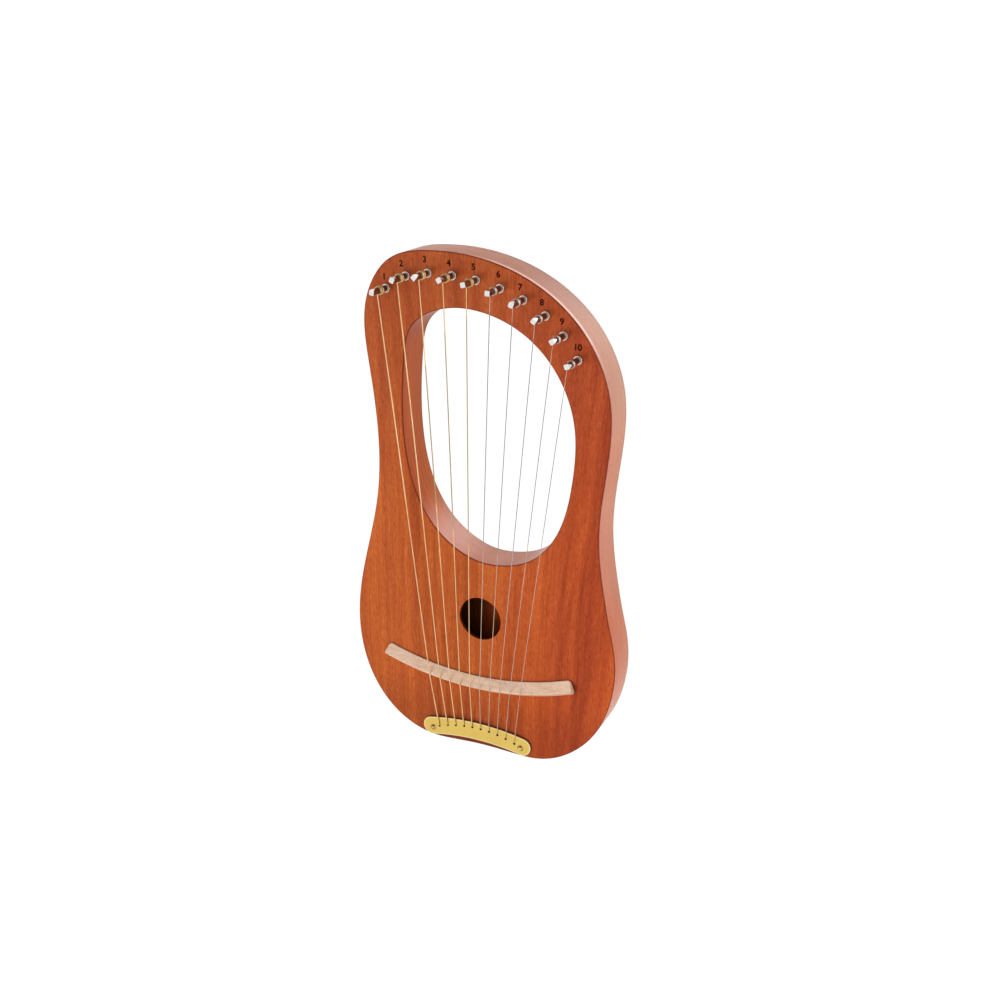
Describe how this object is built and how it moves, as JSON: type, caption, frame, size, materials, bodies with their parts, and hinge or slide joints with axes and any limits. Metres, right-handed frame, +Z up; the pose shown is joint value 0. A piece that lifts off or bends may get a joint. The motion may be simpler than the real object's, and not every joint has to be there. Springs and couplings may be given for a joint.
{
  "type": "lyre harp",
  "caption": "Small wooden lyre harp with an asymmetric oval hand opening, round sound hole, arc bridge, brass tail plate and a curved row of steel tuning pins.",
  "frame": {"origin": "on the back face of the body, on the axis of the round sound hole", "axes": "+X to the right seen from the front, +Y out of the back face, +Z up from the tail plate towards the tuning pins"},
  "size_m": [0.2321, 0.0547, 0.4147],
  "materials": {
    "mahogany_front": "satin clear finish, straight vertical grain",
    "mahogany_side": "satin clear finish, bent rim, grain along the edge",
    "mahogany_raw": "unfinished inside wood",
    "spruce_brace": "unfinished",
    "maple_block": "unfinished hardwood",
    "maple_bridge": "fine-sanded, matt",
    "brass_plate": "brushed",
    "brass_screw": "polished",
    "nickel_bushing": "polished nickel",
    "steel_pin": "polished nickel plate",
    "bronze_string": "drawn phosphor bronze",
    "steel_string": "drawn plain steel",
    "brass_ball": "turned"
  },
  "bodies": {
    "harp_body": {"soundboard": "mahogany_front", "back_board": "mahogany_front", "outer_rim": "mahogany_side", "opening_rim": "mahogany_side", "pin_block": "maple_block", "tail_block": "maple_block", "brace_upper": "spruce_brace", "brace_lower": "spruce_brace", "back_brace": "spruce_brace", "bridge": "maple_bridge", "tailpiece_plate": "brass_plate", "tailpiece_screws": "brass_screw", "pin_bushings": "nickel_bushing", "string_ball_ends": "brass_ball", "string_01": "bronze_string", "string_02": "bronze_string", "string_03": "bronze_string", "string_04": "bronze_string", "string_05": "bronze_string", "string_06": "steel_string", "string_07": "steel_string", "string_08": "steel_string", "string_09": "steel_string", "string_10": "steel_string"},
    "pin_01": {"tuning_pin_01": "steel_pin", "string_coil_01": "bronze_string"},
    "pin_02": {"tuning_pin_02": "steel_pin", "string_coil_02": "bronze_string"},
    "pin_03": {"tuning_pin_03": "steel_pin", "string_coil_03": "bronze_string"},
    "pin_04": {"tuning_pin_04": "steel_pin", "string_coil_04": "bronze_string"},
    "pin_05": {"tuning_pin_05": "steel_pin", "string_coil_05": "bronze_string"},
    "pin_06": {"tuning_pin_06": "steel_pin", "string_coil_06": "steel_string"},
    "pin_07": {"tuning_pin_07": "steel_pin", "string_coil_07": "steel_string"},
    "pin_08": {"tuning_pin_08": "steel_pin", "string_coil_08": "steel_string"},
    "pin_09": {"tuning_pin_09": "steel_pin", "string_coil_09": "steel_string"},
    "pin_10": {"tuning_pin_10": "steel_pin", "string_coil_10": "steel_string"}
  },
  "joints": [
    {"name": "tune_pin_01", "type": "hinge", "parent": "harp_body", "child": "pin_01", "pos_m": [-0.0774, -0.0327, 0.264], "axis": [0, -1, 0], "range_deg": [-110, 980]},
    {"name": "tune_pin_02", "type": "hinge", "parent": "harp_body", "child": "pin_02", "pos_m": [-0.0597, -0.0327, 0.2746], "axis": [0, -1, 0], "range_deg": [-110, 980]},
    {"name": "tune_pin_03", "type": "hinge", "parent": "harp_body", "child": "pin_03", "pos_m": [-0.041, -0.0327, 0.278], "axis": [0, -1, 0], "range_deg": [-110, 980]},
    {"name": "tune_pin_04", "type": "hinge", "parent": "harp_body", "child": "pin_04", "pos_m": [-0.0204, -0.0327, 0.2776], "axis": [0, -1, 0], "range_deg": [-110, 980]},
    {"name": "tune_pin_05", "type": "hinge", "parent": "harp_body", "child": "pin_05", "pos_m": [-0.0008, -0.0327, 0.2757], "axis": [0, -1, 0], "range_deg": [-110, 980]},
    {"name": "tune_pin_06", "type": "hinge", "parent": "harp_body", "child": "pin_06", "pos_m": [0.0187, -0.0327, 0.2711], "axis": [0, -1, 0], "range_deg": [-110, 980]},
    {"name": "tune_pin_07", "type": "hinge", "parent": "harp_body", "child": "pin_07", "pos_m": [0.0373, -0.0327, 0.2642], "axis": [0, -1, 0], "range_deg": [-110, 980]},
    {"name": "tune_pin_08", "type": "hinge", "parent": "harp_body", "child": "pin_08", "pos_m": [0.055, -0.0327, 0.254], "axis": [0, -1, 0], "range_deg": [-110, 980]},
    {"name": "tune_pin_09", "type": "hinge", "parent": "harp_body", "child": "pin_09", "pos_m": [0.0693, -0.0327, 0.2405], "axis": [0, -1, 0], "range_deg": [-110, 980]},
    {"name": "tune_pin_10", "type": "hinge", "parent": "harp_body", "child": "pin_10", "pos_m": [0.0808, -0.0327, 0.2236], "axis": [0, -1, 0], "range_deg": [-110, 980]}
  ]
}
